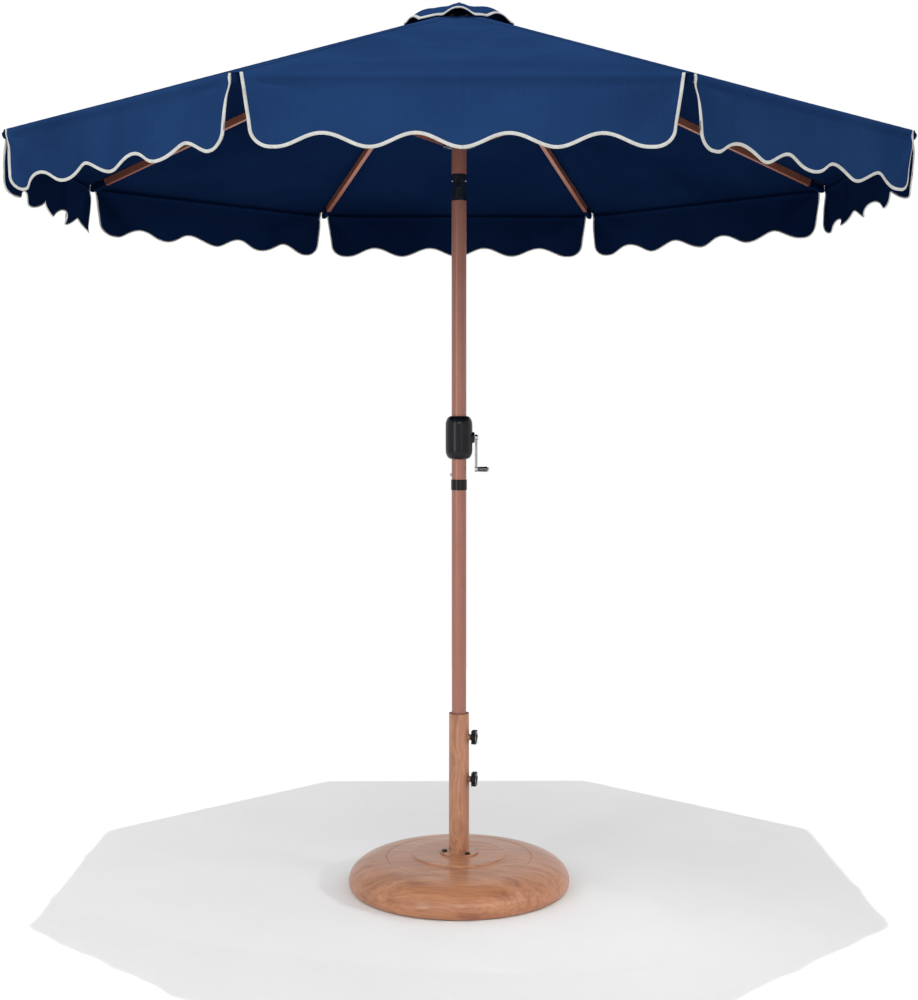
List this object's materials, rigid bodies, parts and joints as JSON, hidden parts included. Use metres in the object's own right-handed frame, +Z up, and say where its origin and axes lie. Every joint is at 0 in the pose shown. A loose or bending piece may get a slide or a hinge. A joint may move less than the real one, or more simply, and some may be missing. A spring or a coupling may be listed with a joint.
{
  "type": "patio umbrella with base",
  "caption": "Octagonal crank-and-tilt patio umbrella with a vented navy canopy and scalloped valance, its jointed mast standing in a round weighted base.",
  "frame": {"origin": "on the floor under the middle of the base", "axes": "+Z up the mast; the crank and the clamp knobs are on +X; -Y is the front, facing one panel"},
  "size_m": [2.0704, 2.0704, 2.272],
  "materials": {
    "wood_grain_steel": "gloss",
    "ballast": "matte",
    "dark_fasteners": "satin",
    "black_plastic": "satin",
    "bright_steel": "satin",
    "mast_finish": "gloss",
    "white_plastic": "satin",
    "grip_finish": "satin",
    "tilt_black": "gloss",
    "cord": "matte",
    "rib_finish": "satin",
    "navy_cloth": "matte"
  },
  "bodies": {
    "base": {"base_shell": "wood_grain_steel", "base_weight": "ballast", "base_stem": "wood_grain_steel", "base_bolts": "dark_fasteners", "stem_sleeve": "black_plastic"},
    "stud_upper": {"clamp_stud_upper": "bright_steel"},
    "knob_upper": {"clamp_knob_upper": "black_plastic"},
    "stud_lower": {"clamp_stud_lower": "bright_steel"},
    "knob_lower": {"clamp_knob_lower": "black_plastic"},
    "pole_foot": {"pole_foot_cap": "black_plastic"},
    "mast": {"lower_pole": "mast_finish", "pole_collar": "black_plastic", "upper_pole": "mast_finish", "housing_front": "black_plastic", "housing_back": "black_plastic", "housing_screws": "dark_fasteners", "brake_spring": "bright_steel", "tilt_yoke": "tilt_black", "tilt_pin": "bright_steel", "tilt_spring": "bright_steel", "lift_cord_lower": "cord"},
    "snap": {"snap_button": "bright_steel"},
    "crank": {"cord_spool": "white_plastic", "crank_arm": "bright_steel"},
    "grip": {"crank_grip": "grip_finish"},
    "button": {"tilt_button": "tilt_black"},
    "head": {"tilt_tongue": "tilt_black", "top_pole": "mast_finish", "top_hub": "black_plastic", "hub_pins": "bright_steel", "lift_cord_upper": "cord", "vent_cap": "navy_cloth"},
    "pulley": {"hub_pulley": "white_plastic"},
    "runner": {"runner": "black_plastic"},
    "rib_1": {"rib_1": "rib_finish", "canopy_1": "navy_cloth"},
    "strut_1": {"strut_1": "rib_finish"},
    "rib_2": {"rib_2": "rib_finish", "canopy_2": "navy_cloth"},
    "strut_2": {"strut_2": "rib_finish"},
    "rib_3": {"rib_3": "rib_finish", "canopy_3": "navy_cloth"},
    "strut_3": {"strut_3": "rib_finish"},
    "rib_4": {"rib_4": "rib_finish", "canopy_4": "navy_cloth"},
    "strut_4": {"strut_4": "rib_finish"},
    "rib_5": {"rib_5": "rib_finish", "canopy_5": "navy_cloth"},
    "strut_5": {"strut_5": "rib_finish"},
    "rib_6": {"rib_6": "rib_finish", "canopy_6": "navy_cloth"},
    "strut_6": {"strut_6": "rib_finish"},
    "rib_7": {"rib_7": "rib_finish", "canopy_7": "navy_cloth"},
    "strut_7": {"strut_7": "rib_finish"},
    "rib_8": {"rib_8": "rib_finish", "canopy_8": "navy_cloth"},
    "strut_8": {"strut_8": "rib_finish"}
  },
  "joints": [
    {"name": "knob_upper_travel", "type": "slide", "parent": "base", "child": "stud_upper", "axis": [0.9781, -0.2079, 0], "range_m": [0, 0.005]},
    {"name": "knob_upper_turn", "type": "hinge", "parent": "stud_upper", "child": "knob_upper", "pos_m": [0, 0, 0.395], "axis": [0.9781, -0.2079, 0], "range_deg": [0, 1440]},
    {"name": "knob_lower_travel", "type": "slide", "parent": "base", "child": "stud_lower", "axis": [0.9781, -0.2079, 0], "range_m": [0, 0.005]},
    {"name": "knob_lower_turn", "type": "hinge", "parent": "stud_lower", "child": "knob_lower", "pos_m": [0, 0, 0.285], "axis": [0.9781, -0.2079, 0], "range_deg": [0, 1440]},
    {"name": "mast_lift", "type": "slide", "parent": "base", "child": "pole_foot", "axis": [0, 0, 1], "range_m": [0, 0.35]},
    {"name": "mast_turn", "type": "hinge", "parent": "pole_foot", "child": "mast", "pos_m": [0, 0, 0.5], "axis": [0, 0, 1], "continuous": true},
    {"name": "snap_press", "type": "slide", "parent": "mast", "child": "snap", "axis": [1, 0, 0], "range_m": [0, 0.0046], "stiffness_N_per_m": 1500, "springref_m": -0.002},
    {"name": "crank_turn", "type": "hinge", "parent": "mast", "child": "crank", "pos_m": [0.04, 0, 1.1715], "axis": [1, 0, 0], "continuous": true},
    {"name": "grip_spin", "type": "hinge", "parent": "crank", "child": "grip", "pos_m": [0.06, 0, 1.09], "axis": [1, 0, 0], "continuous": true},
    {"name": "head_tilt", "type": "hinge", "parent": "mast", "child": "head", "pos_m": [0, 0, 1.807], "axis": [0, 1, 0], "range_deg": [-35, 0]},
    {"name": "tilt_button_press", "type": "slide", "parent": "mast", "child": "button", "axis": [0, 1, 0], "range_m": [0, 0.0023], "stiffness_N_per_m": 1500, "springref_m": -0.001, "deforming": ["tilt_spring"]},
    {"name": "runner_slide", "type": "slide", "parent": "head", "child": "runner", "axis": [0, 0, -1], "range_m": [0, 0.54506], "deforming": ["lift_cord_upper"]},
    {"name": "pulley_spin", "type": "hinge", "parent": "head", "child": "pulley", "pos_m": [0, 0.012, 2.2], "axis": [1, 0, 0], "continuous": true},
    {"name": "rib_1_fold", "type": "hinge", "parent": "head", "child": "rib_1", "pos_m": [0.03141, 0.01301, 2.226], "axis": [-0.3827, 0.9239, 0], "range_deg": [0, 61.1], "deforming": ["canopy_1"]},
    {"name": "strut_1_fold", "type": "hinge", "parent": "rib_1", "child": "strut_1", "pos_m": [0.40282, 0.16685, 2.07234], "axis": [-0.3827, 0.9239, 0], "range_deg": [-122.2, 0]},
    {"name": "rib_2_fold", "type": "hinge", "parent": "head", "child": "rib_2", "pos_m": [0.01301, 0.03141, 2.226], "axis": [-0.9239, 0.3827, 0], "range_deg": [0, 61.1], "deforming": ["canopy_2"]},
    {"name": "strut_2_fold", "type": "hinge", "parent": "rib_2", "child": "strut_2", "pos_m": [0.16685, 0.40282, 2.07234], "axis": [-0.9239, 0.3827, 0], "range_deg": [-122.2, 0]},
    {"name": "rib_3_fold", "type": "hinge", "parent": "head", "child": "rib_3", "pos_m": [-0.01301, 0.03141, 2.226], "axis": [-0.9239, -0.3827, 0], "range_deg": [0, 61.1], "deforming": ["canopy_3"]},
    {"name": "strut_3_fold", "type": "hinge", "parent": "rib_3", "child": "strut_3", "pos_m": [-0.16685, 0.40282, 2.07234], "axis": [-0.9239, -0.3827, 0], "range_deg": [-122.2, 0]},
    {"name": "rib_4_fold", "type": "hinge", "parent": "head", "child": "rib_4", "pos_m": [-0.03141, 0.01301, 2.226], "axis": [-0.3827, -0.9239, 0], "range_deg": [0, 61.1], "deforming": ["canopy_4"]},
    {"name": "strut_4_fold", "type": "hinge", "parent": "rib_4", "child": "strut_4", "pos_m": [-0.40282, 0.16685, 2.07234], "axis": [-0.3827, -0.9239, 0], "range_deg": [-122.2, 0]},
    {"name": "rib_5_fold", "type": "hinge", "parent": "head", "child": "rib_5", "pos_m": [-0.03141, -0.01301, 2.226], "axis": [0.3827, -0.9239, 0], "range_deg": [0, 61.1], "deforming": ["canopy_5"]},
    {"name": "strut_5_fold", "type": "hinge", "parent": "rib_5", "child": "strut_5", "pos_m": [-0.40282, -0.16685, 2.07234], "axis": [0.3827, -0.9239, 0], "range_deg": [-122.2, 0]},
    {"name": "rib_6_fold", "type": "hinge", "parent": "head", "child": "rib_6", "pos_m": [-0.01301, -0.03141, 2.226], "axis": [0.9239, -0.3827, 0], "range_deg": [0, 61.1], "deforming": ["canopy_6"]},
    {"name": "strut_6_fold", "type": "hinge", "parent": "rib_6", "child": "strut_6", "pos_m": [-0.16685, -0.40282, 2.07234], "axis": [0.9239, -0.3827, 0], "range_deg": [-122.2, 0]},
    {"name": "rib_7_fold", "type": "hinge", "parent": "head", "child": "rib_7", "pos_m": [0.01301, -0.03141, 2.226], "axis": [0.9239, 0.3827, 0], "range_deg": [0, 61.1], "deforming": ["canopy_7"]},
    {"name": "strut_7_fold", "type": "hinge", "parent": "rib_7", "child": "strut_7", "pos_m": [0.16685, -0.40282, 2.07234], "axis": [0.9239, 0.3827, 0], "range_deg": [-122.2, 0]},
    {"name": "rib_8_fold", "type": "hinge", "parent": "head", "child": "rib_8", "pos_m": [0.03141, -0.01301, 2.226], "axis": [0.3827, 0.9239, 0], "range_deg": [0, 61.1], "deforming": ["canopy_8"]},
    {"name": "strut_8_fold", "type": "hinge", "parent": "rib_8", "child": "strut_8", "pos_m": [0.40282, -0.16685, 2.07234], "axis": [0.3827, 0.9239, 0], "range_deg": [-122.2, 0]}
  ],
  "couplings": [
    {"joint": "knob_upper_travel", "follows": "knob_upper_turn", "m_per_rad": 0.00019894},
    {"joint": "knob_lower_travel", "follows": "knob_lower_turn", "m_per_rad": 0.00019894},
    {"joint": "crank_turn", "follows": "runner_slide", "rad_per_m": -90.909},
    {"joint": "pulley_spin", "follows": "runner_slide", "rad_per_m": -83.333},
    {"joint": "rib_1_fold", "follows": "runner_slide", "rad_per_m": 1.9559},
    {"joint": "strut_1_fold", "follows": "runner_slide", "rad_per_m": -3.9118},
    {"joint": "rib_2_fold", "follows": "runner_slide", "rad_per_m": 1.9559},
    {"joint": "strut_2_fold", "follows": "runner_slide", "rad_per_m": -3.9118},
    {"joint": "rib_3_fold", "follows": "runner_slide", "rad_per_m": 1.9559},
    {"joint": "strut_3_fold", "follows": "runner_slide", "rad_per_m": -3.9118},
    {"joint": "rib_4_fold", "follows": "runner_slide", "rad_per_m": 1.9559},
    {"joint": "strut_4_fold", "follows": "runner_slide", "rad_per_m": -3.9118},
    {"joint": "rib_5_fold", "follows": "runner_slide", "rad_per_m": 1.9559},
    {"joint": "strut_5_fold", "follows": "runner_slide", "rad_per_m": -3.9118},
    {"joint": "rib_6_fold", "follows": "runner_slide", "rad_per_m": 1.9559},
    {"joint": "strut_6_fold", "follows": "runner_slide", "rad_per_m": -3.9118},
    {"joint": "rib_7_fold", "follows": "runner_slide", "rad_per_m": 1.9559},
    {"joint": "strut_7_fold", "follows": "runner_slide", "rad_per_m": -3.9118},
    {"joint": "rib_8_fold", "follows": "runner_slide", "rad_per_m": 1.9559},
    {"joint": "strut_8_fold", "follows": "runner_slide", "rad_per_m": -3.9118}
  ]
}
